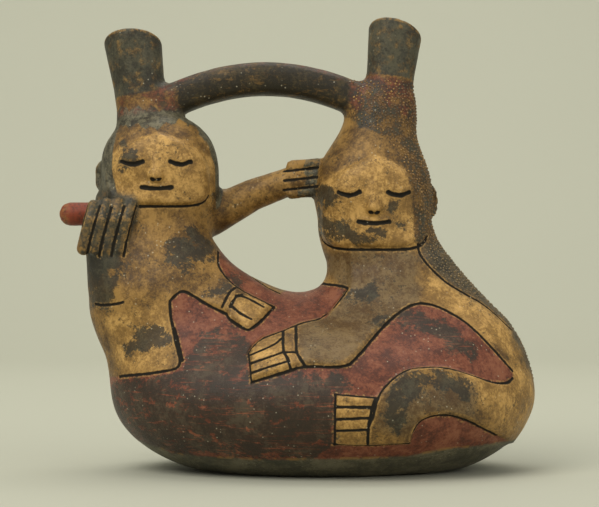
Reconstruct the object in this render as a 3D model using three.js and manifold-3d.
// Double spout bottle: one hollow piece of fired clay. Two seated figures rise from a low
// chamber. Each head carries a spout, and a strap bridge joins the spouts.
// Millimetres, +Z up, the figures face -Y. The origin is the centre of the flat foot.
import * as THREE from "three";
import { triTable } from "three/addons/objects/MarchingCubes.js";
import { mergeVertices } from "three/addons/utils/BufferGeometryUtils.js";
import Module from "manifold-3d";

// Chamber: a low bowl, oval in plan, fullest at the belly
const chamberCentre = -1.5;
const chamberHalfWidth = 82;
const chamberHalfDepth = 61;
const bellyHeight = 28;
const chamberRise = 35.5;
const undersideDrop = 35;

// Clay thickness
const wall = 5;
const spoutWall = 2.6;
const floorThickness = 6.5;

// Seam radii, where the clay of one form is smeared into the next
const bodySeam = 22;
const lapSeam = 8;
const neckSeam = 7;
const spoutSeam = 4;
const armSeam = 5;
const detailSeam = 1.6;

// Left figure, each point as a step from the one below it
const leftSeat = { x: -51, y: -9, z: 45 };
const leftSeatRadius = 25.5;
const leftWaistRise = { x: -15.5, y: 5, z: 22 };
const leftWaistRadius = 28;
const leftNeckRise = { x: -5.5, y: 4, z: 27 };
const leftNeckRadius = 24;
const leftKneeReach = { x: 31, y: 1, z: 2.5 };
const leftKneeRadius = 18;
const leftLapStep = { x: 7, y: -3, z: 1 };
const leftLapRadius = 24;
const leftHeadRise = { x: 5.2, y: 1.5, z: 28 };
const leftHead = { halfWidth: 22.8, halfDepth: 21.5, halfHeight: 20 };
const leftJawAside = 1.2;
const leftSpoutRise = { x: -6.6, y: 3.5, z: 17 };
const leftSpout = {
  length: 32.5,
  footRadius: 10.2,
  mouthRadius: 11.6,
  collarRadius: 11.4,
  leanOut: -8,
  mouthOut: -1,
};

// Right figure
const rightSeat = { x: 43.5, y: -6, z: 43.5 };
const rightSeatRadius = 31;
const rightWaistRise = { x: -14.5, y: 3, z: 25 };
const rightWaistRadius = 25.8;
const rightNeckRise = { x: -7.5, y: 3, z: 21.5 };
const rightNeckRadius = 20.5;
const rightHeadRise = { x: -3.2, y: 1, z: 20 };
const rightHead = { halfWidth: 23.2, halfDepth: 21, halfHeight: 23 };
const rightCrownStep = { x: 1, y: 2, z: 7 };
const rightCrownRadius = 20;
const rightCrownTopStep = { x: -2.5, y: 0, z: -3 };
const crownMargin = 1;
const rightSpoutRise = { x: 6, y: 2.5, z: 36 };
const rightSpout = {
  length: 29.5,
  footRadius: 9.6,
  mouthRadius: 10.8,
  collarRadius: 11.8,
  leanOut: 7,
  mouthOut: 15,
};

const torsoDepthShare = 0.82;
const spoutLeanBack = 4;
const mouthLeanBack = 25;
const collarHeight = 7;
const collarTaper = 0.6;

// Strap bridge between the two collars
const bridgeRise = 15;
const bridgeLeftLift = 2;
const bridgeRightLift = -5;
const bridgeHalfHeight = 6.7;
const bridgeHalfDepth = 8.2;

// Outstretched arm of the left figure, and its hand on the other head
const armRadius = 6.4;
const shoulderRadius = 7.8;
const wristRadius = 5.4;
const shoulderBack = 7;
const palmGap = 8;
const elbowStep = { x: -17, y: 5, z: -6 };
const fingerRadius = 2.1;
const fingerPitch = 3.7;
const knuckleStep = { x: -1, y: -2.4 };
const fingertipStep = { x: 9.5, y: -1.5, z: 1 };
const fingersPerHand = 4;

// Raised hand of the left figure, and the red object that it holds
const foldedArmRadius = 10.5;
const foldedWristRadius = 9;
const foldedElbowStep = { x: 4, y: 2, z: -25 };
const foldedWristStep = { x: 0.5, y: 1, z: -4 };
const raisedHand = { x: -15, y: -14, z: 6 };
const raisedFingerRadius = 2.6;
const raisedFingerPitch = 4.8;
const raisedKnuckleStep = { x: 3, y: -5, z: 6 };
const raisedBendStep = { x: 1.5, y: -8, z: -1 };
const raisedFingertipStep = { x: -1, y: -6.5, z: -12 };
const heldRadius = 4.6;
const heldReach = 18.5;
const heldTail = 6;
const heldLift = 1.5;

// Low relief limbs and faces on the front
const limbRelief = 2.4;
const faceRelief = 1.8;
const reliefSlope = 4.6;
const grooveRadius = 0.9;
const noseRadius = 3.4;
const earSize = { halfWidth: 3.6, halfDepth: 4.6, halfHeight: 6.5 };
const earBack = 3;
const leftEarDrop = -5;
const rightEarDrop = -3;

// Resolution of the skin
const outerCell = 1.9;
const innerCell = 3.4;
const outerTriangles = 7000;
const innerTriangles = 1400;

const add = (a, b) => ({ x: a.x + b.x, y: a.y + b.y, z: a.z + b.z });
const away = (a, x, y, z) => ({ x: a.x + x, y: a.y + y, z: a.z + z });
const radians = THREE.MathUtils.degToRad;
const { clamp, lerp, smoothstep } = THREE.MathUtils;

// Joints of each figure
const leftWaist = add(leftSeat, leftWaistRise);
const leftNeck = add(leftWaist, leftNeckRise);
const leftKnee = add(leftSeat, leftKneeReach);
const leftFace = add(leftNeck, leftHeadRise);
const leftSpoutFoot = add(leftFace, leftSpoutRise);
const rightWaist = add(rightSeat, rightWaistRise);
const rightNeck = add(rightWaist, rightNeckRise);
const rightFace = add(rightNeck, rightHeadRise);
const rightSpoutFoot = add(rightFace, rightSpoutRise);

// A form is a function of a point: its distance to the form's skin, negative inside.

// An egg, with its own half sizes
function egg(centre, rx, ry, rz) {
  return (x, y, z) => {
    const a = (x - centre.x) / rx;
    const b = (y - centre.y) / ry;
    const c = (z - centre.z) / rz;
    const size = Math.hypot(a, b, c);
    const slope = Math.hypot(a / rx, b / ry, c / rz);
    return slope > 1e-9 ? (size * (size - 1)) / slope : -Math.min(rx, ry, rz);
  };
}

// A roll of clay through several stops, each { x, y, z, r }. A depth share under 1 flattens it.
function roll(stops, depthShare = 1) {
  return (x, y, z) => {
    let nearest = Infinity;
    for (let i = 1; i < stops.length; i++) {
      const a = stops[i - 1];
      const b = stops[i];
      const ux = b.x - a.x;
      const uy = (b.y - a.y) / depthShare;
      const uz = b.z - a.z;
      const px = x - a.x;
      const py = (y - a.y) / depthShare;
      const pz = z - a.z;
      const t = clamp((px * ux + py * uy + pz * uz) / (ux * ux + uy * uy + uz * uz), 0, 1);
      const gap = Math.hypot(px - t * ux, py - t * uy, pz - t * uz) - lerp(a.r, b.r, t);
      nearest = Math.min(nearest, gap);
    }
    return nearest * (depthShare + 1) * 0.5;
  };
}

const stop = (point, r) => ({ ...point, r });

// Two distances joined with a seam of clay smeared between them
function smear(a, b, seam) {
  const overlap = Math.max(seam - Math.abs(a - b), 0) / seam;
  return Math.min(a, b) - (overlap * overlap * seam) / 4;
}

// The bowl: an oval in plan, with its own curve above and below the belly
function chamberForm(x, y, z) {
  const half = z > bellyHeight ? chamberRise : undersideDrop;
  return egg({ x: chamberCentre, y: 0, z: bellyHeight }, chamberHalfWidth, chamberHalfDepth, half)(x, y, z);
}

const torso = (...stops) => roll(stops, torsoDepthShare);
const leftTorso = torso(
  stop(leftSeat, leftSeatRadius),
  stop(leftWaist, leftWaistRadius),
  stop(leftNeck, leftNeckRadius),
);
const leftLap = torso(
  stop(add(leftWaist, leftLapStep), leftLapRadius),
  stop(leftKnee, leftKneeRadius),
);
const rightTorso = torso(
  stop(rightSeat, rightSeatRadius),
  stop(rightWaist, rightWaistRadius),
  stop(rightNeck, rightNeckRadius),
);

// A head is an egg over a straight jaw, and the right one has a tall tapering crown
function jaw(face, head, jawShare, aside) {
  const r = head.halfWidth * jawShare;
  const share = head.halfDepth / head.halfWidth;
  const low = away(face, aside, 0, -head.halfHeight * 0.28);
  return roll([stop(low, r), stop(away(low, 0, 0, -head.halfHeight * 0.2), r)], share);
}

const leftSkull = egg(leftFace, leftHead.halfWidth, leftHead.halfDepth, leftHead.halfHeight);
const leftJaw = jaw(leftFace, leftHead, 0.98, leftJawAside);
const rightSkull = egg(rightFace, rightHead.halfWidth, rightHead.halfDepth, rightHead.halfHeight);
const rightJaw = jaw(rightFace, rightHead, 0.93, 0);
const rightCrown = roll([
  stop(add(rightFace, rightCrownStep), rightCrownRadius),
  stop(add(rightSpoutFoot, rightCrownTopStep), rightSpout.collarRadius + crownMargin),
]);

// A direction that leans out to the side and back, in degrees from upright
const leaning = (out, back) =>
  new THREE.Vector3(Math.tan(radians(out)), Math.tan(radians(back)), 1).normalize();
const spoutAxis = (spout) => leaning(spout.leanOut, spoutLeanBack);
const mouthDirection = (spout) => leaning(spout.mouthOut, mouthLeanBack);

const along = (foot, axis, length) => away(foot, axis.x * length, axis.y * length, axis.z * length);

// A spout flares gently to its mouth, above a low collar
function spoutForms(foot, spout) {
  const axis = spoutAxis(spout);
  const waist = along(foot, axis, spout.length * 0.45);
  const beyond = along(foot, axis, spout.length + spout.mouthRadius);
  const tube = roll([
    stop(foot, spout.footRadius),
    stop(waist, spout.footRadius),
    stop(along(foot, axis, spout.length), spout.mouthRadius),
    stop(beyond, spout.mouthRadius),
  ]);
  const collar = roll([
    stop(along(foot, axis, -collarHeight * 0.5), spout.collarRadius),
    stop(along(foot, axis, -collarHeight * 0.1), spout.collarRadius - collarTaper),
  ]);
  return { tube, collar };
}

const leftSpoutForms = spoutForms(leftSpoutFoot, leftSpout);
const rightSpoutForms = spoutForms(rightSpoutFoot, rightSpout);

// The strap arches from collar to collar, with a rounded oblong section
const bridgeStart = away(leftSpoutFoot, 0, 0, bridgeLeftLift);
const bridgeEnd = away(rightSpoutFoot, 0, 0, bridgeRightLift);

function bridgeForm(x, y, z) {
  const from = bridgeStart;
  const to = bridgeEnd;
  const t = clamp((x - from.x) / (to.x - from.x), 0, 1);
  const u = 2 * t - 1;
  const height = lerp(from.z, to.z, t) + bridgeRise * (1 - u * u);
  const slope = (to.z - from.z - 4 * bridgeRise * u) / (to.x - from.x);
  const across = Math.abs(z - height) / Math.hypot(1, slope);
  const deep = Math.abs(y - lerp(from.y, to.y, t));
  const beyond = Math.abs(x - lerp(from.x, to.x, t));
  const share = Math.pow(across / bridgeHalfHeight, 3) + Math.pow(deep / bridgeHalfDepth, 3);
  return (Math.cbrt(share) - 1) * bridgeHalfHeight + beyond;
}

// The outstretched arm runs from behind the left jaw to the side of the right head
const shoulder = away(leftFace, leftHead.halfWidth * 0.9, shoulderBack, -leftHead.halfHeight * 1.05);
const palm = away(rightFace, -rightHead.halfWidth - palmGap, 0, rightHead.halfHeight * 0.24);
const elbow = add(palm, elbowStep);
const outstretchedArm = roll([
  stop(shoulder, shoulderRadius),
  stop(elbow, armRadius),
  stop(palm, wristRadius),
]);

// Fingers lie side by side, each a short roll from the palm to the head
function outstretchedFingers() {
  const fingers = [];
  for (let i = 0; i < fingersPerHand; i++) {
    const lift = (i - (fingersPerHand - 1) / 2) * fingerPitch;
    fingers.push(roll([
      stop(away(palm, knuckleStep.x, knuckleStep.y, lift), fingerRadius),
      stop(away(palm, fingertipStep.x, fingertipStep.y, lift + fingertipStep.z), fingerRadius),
    ]));
  }
  return fingers;
}

// The folded arm lies on the left flank, and its hand closes over the held object
const raisedPalm = add(leftNeck, raisedHand);
const foldedArm = roll([
  stop(add(raisedPalm, foldedElbowStep), foldedArmRadius),
  stop(add(raisedPalm, foldedWristStep), foldedWristRadius),
]);
const held = roll([
  stop(away(raisedPalm, -heldReach + heldRadius, 1, heldLift), heldRadius),
  stop(away(raisedPalm, heldTail, 0, heldLift), heldRadius),
]);

function raisedFingers() {
  const fingers = [];
  for (let i = 0; i < fingersPerHand; i++) {
    const side = (i - (fingersPerHand - 1) / 2) * raisedFingerPitch;
    const root = away(raisedPalm, side, 0, 0);
    const bow = away(root, 0, 0, -Math.abs(side) * 0.2);
    fingers.push(roll([
      stop(add(bow, raisedKnuckleStep), raisedFingerRadius),
      stop(add(root, raisedBendStep), raisedFingerRadius),
      stop(add(root, raisedFingertipStep), raisedFingerRadius),
    ]));
  }
  return fingers;
}

function ear(face, head, side, drop) {
  const centre = away(face, side * head.halfWidth, earBack, drop);
  return egg(centre, earSize.halfWidth, earSize.halfDepth, earSize.halfHeight);
}

// Low relief, drawn in the front view as a height over the body at (x, z)

// A limb through several stops, each [x, z, half width]
function limbRidge(stops) {
  return (x, z) => {
    let height = 0;
    for (let i = 1; i < stops.length; i++) {
      const [ax, az, aw] = stops[i - 1];
      const [bx, bz, bw] = stops[i];
      const reach = (bx - ax) ** 2 + (bz - az) ** 2;
      const t = clamp(((x - ax) * (bx - ax) + (z - az) * (bz - az)) / reach, 0, 1);
      const edge = lerp(aw, bw, t) - Math.hypot(x - lerp(ax, bx, t), z - lerp(az, bz, t));
      height = Math.max(height, limbRelief * smoothstep(edge, -reliefSlope / 2, reliefSlope / 2));
    }
    return height;
  };
}

// Limb stops as shares of the chamber's half width and of its full height
const chamberHeight = bellyHeight + chamberRise;
const limbStops = (rows) => rows.map(([x, z, w]) => [x * chamberHalfWidth, z * chamberHeight, w]);
const reliefLimbs = [
  [[-0.63, 1.2, 8.5], [-0.52, 1.11, 7], [-0.43, 1.04, 6], [-0.33, 0.965, 6]],
  [[0.32, 1.13, 8], [0.2, 0.93, 9.5], [0.06, 0.79, 9], [-0.13, 0.76, 7.5], [-0.31, 0.7, 7.5]],
  [
    [0.86, 0.47, 9.5],
    [0.74, 0.47, 10],
    [0.58, 0.53, 8.5],
    [0.42, 0.54, 8],
    [0.31, 0.44, 7.5],
    [0.11, 0.355, 8.5],
  ],
].map(limbStops).map(limbRidge);

// The face plate stands proud of the chest, with a soft round brow and a crisp chin
function facePlate(face, head, chinDrop) {
  return (x, z) => {
    const across = Math.abs(x - face.x) / (head.halfWidth * 0.92);
    const middle = face.z - chinDrop * 0.3;
    const down = Math.max(middle - z, 0) / (chinDrop * 0.7);
    const up = Math.max(z - middle, 0) / (chinDrop * 0.95);
    const edge = 1 - Math.pow(across ** 5 + down ** 5, 0.2) - up ** 2.5;
    return faceRelief * smoothstep(edge, 0, 0.16);
  };
}

const leftChinDrop = leftHead.halfHeight * 0.88;
const rightChinDrop = rightHead.halfHeight * 0.98;
const facePlates = [
  facePlate(leftFace, leftHead, leftChinDrop),
  facePlate(rightFace, rightHead, rightChinDrop),
];

function reliefHeight(x, y, z) {
  const front = smoothstep(-y, -6, 8);
  let height = 0;
  for (const ridge of reliefLimbs) height = Math.max(height, ridge(x, z));
  for (const plate of facePlates) height = Math.max(height, plate(x, z));
  return height * front;
}

// The direction in which a form's distance grows
function slopeOf(form, x, y, z) {
  const here = form(x, y, z);
  const step = 0.05;
  const rise = new THREE.Vector3(form(x + step, y, z), form(x, y + step, z), form(x, y, z + step));
  return rise.subScalar(here).divideScalar(step);
}

// The hollow body with its relief, which is read at the foot of the line to the body's skin
function reliefBody(x, y, z) {
  const gap = hollowBody(x, y, z);
  if (y > 6 || Math.abs(gap) > 3 * limbRelief) return gap;
  const slope = slopeOf(hollowBody, x, y, z);
  const foot = slope.multiplyScalar(-gap / Math.max(slope.lengthSq(), 0.25));
  return gap - reliefHeight(x + foot.x, y + foot.y, z + foot.z);
}

// The hollow body: everything that holds liquid
function hollowBody(x, y, z) {
  const leftTop = smear(leftSkull(x, y, z), leftJaw(x, y, z), detailSeam);
  const left = smear(smear(leftTorso(x, y, z), leftLap(x, y, z), lapSeam), leftTop, neckSeam);
  const rightMask = smear(rightSkull(x, y, z), rightJaw(x, y, z), detailSeam);
  const rightTop = smear(rightMask, rightCrown(x, y, z), neckSeam);
  const right = smear(rightTorso(x, y, z), rightTop, neckSeam);
  return smear(smear(chamberForm(x, y, z), left, bodySeam), right, bodySeam);
}

// A figure's nose is a wedge from between the brows to a round tip
function nose(face, head) {
  const top = skinPoint(hollowBody, face.x, face.z + head.halfHeight * 0.12);
  const tip = skinPoint(hollowBody, face.x, face.z - head.halfHeight * 0.26);
  return roll([
    stop(away(top, 0, 0.6 - faceRelief, 0), noseRadius * 0.5),
    stop(away(tip, 0, 0.2 - faceRelief, 0), noseRadius),
  ]);
}

// The first skin met by a line of sight along +Y at (x, z)
function skinPoint(form, x, z) {
  let y = -2 * chamberHalfDepth;
  while (y < chamberHalfDepth) {
    const gap = form(x, y, z);
    if (gap < 0.01) break;
    y += Math.max(gap * 0.6, 0.01);
  }
  return { x, y, z };
}

const fingers = [...outstretchedFingers(), ...raisedFingers()];
const trim = [
  nose(leftFace, leftHead),
  nose(rightFace, rightHead),
  ear(leftFace, leftHead, -1, leftEarDrop),
  ear(rightFace, rightHead, 1, rightEarDrop),
  held,
];

// The whole outside of the bottle, before its foot and mouths are cut flat
function outside(x, y, z) {
  let skin = reliefBody(x, y, z);
  for (const { tube, collar } of [leftSpoutForms, rightSpoutForms]) {
    skin = smear(skin, smear(tube(x, y, z), collar(x, y, z), detailSeam), spoutSeam);
  }
  skin = smear(skin, bridgeForm(x, y, z), spoutSeam);
  skin = smear(skin, smear(outstretchedArm(x, y, z), foldedArm(x, y, z), armSeam), armSeam);
  for (const piece of trim) skin = smear(skin, piece(x, y, z), detailSeam);
  for (const finger of fingers) skin = smear(skin, finger(x, y, z), detailSeam);
  return skin;
}

// The bore of a spout runs from beyond the mouth down into the head
function boreForm(foot, spout) {
  const axis = spoutAxis(spout);
  return roll([
    stop(along(foot, axis, -collarHeight * 2), spout.footRadius - spoutWall),
    stop(along(foot, axis, spout.length * 0.45), spout.footRadius - spoutWall),
    stop(along(foot, axis, spout.length), spout.mouthRadius - spoutWall),
    stop(along(foot, axis, spout.length + spout.mouthRadius), spout.mouthRadius - spoutWall),
  ]);
}

const bores = [boreForm(leftSpoutFoot, leftSpout), boreForm(rightSpoutFoot, rightSpout)];

// The hollow inside, a wall's thickness within the body and above the floor
function inside(x, y, z) {
  const aboveFloor = floorThickness - z;
  let hollow = -smear(-(hollowBody(x, y, z) + wall), -aboveFloor, wall);
  for (const bore of bores) hollow = smear(hollow, bore(x, y, z), spoutSeam);
  return hollow;
}

// Marching cubes: the closed skin of a form inside a box, its corners shared between faces
const around = [...Array(4).keys()];
const cubeCorners = [...Array(8).keys()].map((n) => [((n + 1) >> 1) & 1, (n >> 1) & 1, n >> 2]);
const cubeEdges = [
  ...around.map((n) => [n, (n + 1) % 4]),
  ...around.map((n) => [n + 4, ((n + 1) % 4) + 4]),
  ...around.map((n) => [n, n + 4]),
];

function skinMesh(form, box, cell) {
  const size = box.getSize(new THREE.Vector3());
  const counts = [size.x, size.y, size.z].map((length) => Math.ceil(length / cell) + 1);
  const [nx, ny, nz] = counts;
  const gridIndex = (i, j, k) => i + nx * (j + ny * k);
  const place = (i, j, k) => [box.min.x + i * cell, box.min.y + j * cell, box.min.z + k * cell];
  const gaps = new Float64Array(nx * ny * nz);
  for (let k = 0; k < nz; k++)
    for (let j = 0; j < ny; j++)
      for (let i = 0; i < nx; i++) {
        const gap = form(...place(i, j, k));
        gaps[gridIndex(i, j, k)] = Math.abs(gap) < cell * 0.02 ? cell * 0.02 : gap;
      }
  const points = [];
  const faces = [];
  const known = new Map();
  const pointOn = (a, b) => {
    const ia = gridIndex(...a);
    const ib = gridIndex(...b);
    const key = Math.min(ia, ib) * gaps.length + Math.max(ia, ib);
    if (!known.has(key)) {
      const t = gaps[ia] / (gaps[ia] - gaps[ib]);
      const pa = new THREE.Vector3(...place(...a));
      known.set(key, points.push(pa.lerp(new THREE.Vector3(...place(...b)), t)) - 1);
    }
    return known.get(key);
  };
  for (let k = 0; k + 1 < nz; k++)
    for (let j = 0; j + 1 < ny; j++)
      for (let i = 0; i + 1 < nx; i++) {
        const corners = cubeCorners.map(([a, b, c]) => [i + a, j + b, k + c]);
        let row = 0;
        corners.forEach((corner, bit) => {
          if (gaps[gridIndex(...corner)] > 0) row |= 1 << bit;
        });
        for (let n = row * 16; triTable[n] !== -1; n += 3) {
          const face = [triTable[n], triTable[n + 1], triTable[n + 2]];
          faces.push(face.map((edge) => pointOn(...cubeEdges[edge].map((corner) => corners[corner]))));
        }
      }
  for (const point of points) {
    const slope = slopeOf(form, point.x, point.y, point.z);
    const step = -form(point.x, point.y, point.z) / Math.max(slope.lengthSq(), 0.25);
    point.addScaledVector(slope, clamp(step, -cell / 3, cell / 3));
  }
  return { points, faces };
}

// Thins a closed mesh by edge collapses, cheapest first by the planes each corner stands for,
// so flat stretches get few faces and features keep theirs
function thinned({ points, faces }, wanted) {
  const ring = points.map(() => new Set());
  faces.forEach((face, f) => face.forEach((p) => ring[p].add(f)));
  const normalOf = ([a, b, c]) => {
    const toC = new THREE.Vector3().subVectors(points[c], points[a]);
    return new THREE.Vector3().subVectors(points[b], points[a]).cross(toC);
  };
  const planes = points.map(() => new Float64Array(10));
  faces.forEach((face) => {
    const normal = normalOf(face);
    const area = normal.length() / 2;
    if (area < 1e-12) return;
    normal.normalize();
    const d = -normal.dot(points[face[0]]);
    const { x, y, z } = normal;
    const terms = [x * x, x * y, x * z, x * d, y * y, y * z, y * d, z * z, z * d, d * d];
    for (const p of face) terms.forEach((term, i) => (planes[p][i] += term * area));
  });
  const costAt = (q, p) =>
    q[0] * p.x * p.x + 2 * q[1] * p.x * p.y + 2 * q[2] * p.x * p.z + 2 * q[3] * p.x +
    q[4] * p.y * p.y + 2 * q[5] * p.y * p.z + 2 * q[6] * p.y + q[7] * p.z * p.z + 2 * q[8] * p.z + q[9];
  const bestPlace = (q, a, b) => {
    const middle = points[a].clone().lerp(points[b], 0.5);
    const slack = 1e-3 * (q[0] + q[4] + q[7]);
    const matrix = new THREE.Matrix3().set(
      q[0] + slack, q[1], q[2], q[1], q[4] + slack, q[5], q[2], q[5], q[7] + slack,
    );
    if (Math.abs(matrix.determinant()) < 1e-12) return middle;
    const side = middle.clone().multiplyScalar(slack).sub(new THREE.Vector3(q[3], q[6], q[8]));
    const best = side.applyMatrix3(matrix.invert());
    return best.distanceTo(middle) < points[a].distanceTo(points[b]) ? best : middle;
  };
  const heap = [];
  const stamps = new Int32Array(points.length);
  const sift = (i) => {
    while (i > 0) {
      const up = (i - 1) >> 1;
      if (heap[up].cost <= heap[i].cost) return;
      [heap[up], heap[i]] = [heap[i], heap[up]];
      i = up;
    }
  };
  const takeCheapest = () => {
    const top = heap[0];
    const last = heap.pop();
    if (heap.length) {
      heap[0] = last;
      for (let i = 0; ; ) {
        let least = 2 * i + 1;
        if (least >= heap.length) break;
        if (least + 1 < heap.length && heap[least + 1].cost < heap[least].cost) least++;
        if (heap[i].cost <= heap[least].cost) break;
        [heap[i], heap[least]] = [heap[least], heap[i]];
        i = least;
      }
    }
    return top;
  };
  const offer = (a, b) => {
    const q = planes[a].map((term, i) => term + planes[b][i]);
    const spot = bestPlace(q, a, b);
    const cost = costAt(q, spot) + 2e-4 * points[a].distanceToSquared(points[b]);
    heap.push({ cost, a, b, spot, q, stampA: stamps[a], stampB: stamps[b] });
    sift(heap.length - 1);
  };
  const neighbours = (p) => {
    const found = new Set();
    for (const f of ring[p]) for (const other of faces[f]) if (other !== p) found.add(other);
    return found;
  };
  points.forEach((_, p) => neighbours(p).forEach((other) => p < other && offer(p, other)));
  const turnsOver = (p, gone, spot) => {
    for (const f of ring[p]) {
      const face = faces[f];
      if (face.includes(gone)) continue;
      const before = normalOf(face);
      const kept = points[p];
      points[p] = spot;
      const after = normalOf(face);
      const longest = Math.max(
        ...face.map((corner, i) => points[corner].distanceToSquared(points[face[(i + 1) % 3]])),
      );
      points[p] = kept;
      if (after.length() < 0.06 * longest) return true;
      if (before.dot(after) < 0.3 * before.length() * after.length()) return true;
    }
    return false;
  };
  let left = faces.length;
  while (left > wanted && heap.length) {
    const { a, b, spot, q, stampA, stampB } = takeCheapest();
    if (stamps[a] !== stampA || stamps[b] !== stampB || !ring[a].size || !ring[b].size) continue;
    const besideA = neighbours(a);
    const shared = [...neighbours(b)].filter((other) => besideA.has(other));
    if (shared.length !== 2 || turnsOver(a, b, spot) || turnsOver(b, a, spot)) continue;
    for (const f of [...ring[b]]) {
      if (faces[f].includes(a)) {
        faces[f].forEach((p) => ring[p].delete(f));
        faces[f] = null;
        left--;
      } else {
        faces[f] = faces[f].map((p) => (p === b ? a : p));
        ring[a].add(f);
      }
    }
    ring[b].clear();
    points[a] = spot;
    planes[a] = q;
    stamps[a]++;
    stamps[b]++;
    const beside = neighbours(a);
    beside.forEach((other) => {
      stamps[other]++;
    });
    beside.forEach((other) => {
      neighbours(other).forEach((next) => next !== a && offer(other, next));
      offer(a, other);
    });
  }
  return { points, faces: faces.filter(Boolean) };
}

const wasm = await Module();
wasm.setup();

// A closed mesh of points and faces as a solid, turned the right way out
function solidFrom({ points, faces }) {
  const made = (turned) => {
    const corners = faces.flatMap(([a, b, c]) => (turned ? [a, c, b] : [a, b, c]));
    const vertProperties = new Float32Array(points.flatMap((p) => [p.x, p.y, p.z]));
    const triVerts = new Uint32Array(corners);
    return new wasm.Manifold(new wasm.Mesh({ numProp: 3, vertProperties, triVerts }));
  };
  const solid = made(false);
  return solid.volume() > 0 ? solid : made(true);
}

// A three.js geometry as a solid
function solidOf(geometry) {
  geometry.deleteAttribute("normal");
  geometry.deleteAttribute("uv");
  const merged = mergeVertices(geometry, 1e-4);
  return new wasm.Manifold(
    new wasm.Mesh({
      numProp: 3,
      vertProperties: merged.attributes.position.array,
      triVerts: new Uint32Array(merged.index.array),
    }),
  );
}

// A block that cuts everything beyond a plane, from its centre and outward direction
function cutter(centre, direction, half) {
  const block = new THREE.BoxGeometry(2 * half, 2 * half, 2 * half);
  const turn = new THREE.Quaternion().setFromUnitVectors(new THREE.Vector3(0, 0, 1), direction);
  block.translate(0, 0, half).applyQuaternion(turn).translate(centre.x, centre.y, centre.z);
  return solidOf(block);
}

// A groove pressed into the skin along a line drawn in the front view, as [x, z] points
function grooveCutter(line) {
  const curve = new THREE.CatmullRomCurve3(
    line.map(([x, z]) => {
      const { y } = skinPoint(outside, x, z);
      return new THREE.Vector3(x, y, z);
    }),
  );
  const section = new THREE.Shape();
  for (let i = 0; i < 6; i++) {
    const turn = (i * Math.PI) / 3;
    section[i ? "lineTo" : "moveTo"](grooveRadius * Math.cos(turn), grooveRadius * Math.sin(turn));
  }
  return solidOf(new THREE.ExtrudeGeometry(section, { steps: 5, extrudePath: curve, bevelEnabled: false }));
}

// Closed eyes and a level mouth, as shares of the head's half sizes
function faceGrooves(face, head) {
  const at = (across, up) => [face.x + across * head.halfWidth, face.z + up * head.halfHeight];
  const eye = (side) => [at(side * 0.26, 0.02), at(side * 0.42, -0.05), at(side * 0.6, 0)];
  const mouth = [at(-0.24, -0.52), at(0, -0.55), at(0.24, -0.52)];
  return [eye(-1), eye(1), mouth];
}

// The lines between the fingers of the resting hand and between the toes, as shares of the chamber
const digitGrooves = [
  [[-0.353, 0.734], [-0.3, 0.765], [-0.244, 0.79]],
  [[-0.351, 0.683], [-0.31, 0.703], [-0.267, 0.72]],
  [[-0.34, 0.629], [-0.28, 0.66], [-0.213, 0.683]],
  [[0.038, 0.44], [0.11, 0.437], [0.186, 0.44]],
  [[0.038, 0.37], [0.11, 0.373], [0.186, 0.376]],
  [[0.038, 0.304], [0.11, 0.306], [0.186, 0.31]],
].map((line) => line.map(([x, z]) => [x * chamberHalfWidth, z * chamberHeight]));

function bottleSolid() {
  const reach = 24;
  const top = Math.max(
    along(leftSpoutFoot, spoutAxis(leftSpout), leftSpout.length).z,
    along(rightSpoutFoot, spoutAxis(rightSpout), rightSpout.length).z,
  );
  const box = new THREE.Box3(
    new THREE.Vector3(-chamberHalfWidth - heldReach - reach, -chamberHalfDepth - reach, -reach),
    new THREE.Vector3(chamberHalfWidth + reach, chamberHalfDepth + reach, top + reach),
  );
  let body = solidFrom(thinned(skinMesh(outside, box, outerCell), outerTriangles));
  const hollow = solidFrom(thinned(skinMesh(inside, box, innerCell), innerTriangles));
  const eyesAndMouths = [...faceGrooves(leftFace, leftHead), ...faceGrooves(rightFace, rightHead)];
  for (const line of [...eyesAndMouths, ...digitGrooves]) body = body.subtract(grooveCutter(line));
  body = body.subtract(hollow);
  for (const [foot, spout] of [[leftSpoutFoot, leftSpout], [rightSpoutFoot, rightSpout]]) {
    const mouth = along(foot, spoutAxis(spout), spout.length);
    body = body.subtract(cutter(mouth, mouthDirection(spout), reach));
  }
  return body.subtract(cutter({ x: 0, y: 0, z: 0 }, new THREE.Vector3(0, 0, -1), 2 * chamberHalfWidth));
}

function meshOf(name, solid, material) {
  const made = solid.getMesh();
  const geometry = new THREE.BufferGeometry();
  geometry.setAttribute("position", new THREE.BufferAttribute(made.vertProperties, 3));
  geometry.setIndex(new THREE.BufferAttribute(made.triVerts, 1));
  geometry.computeVertexNormals();
  const mesh = new THREE.Mesh(geometry, material);
  mesh.name = name;
  return mesh;
}

const firedClay = new THREE.MeshStandardMaterial({ color: 0x8a6338, roughness: 0.55, metalness: 0 });

const bottle = new THREE.Group();
bottle.add(meshOf("bottle", bottleSolid(), firedClay));

export default bottle;
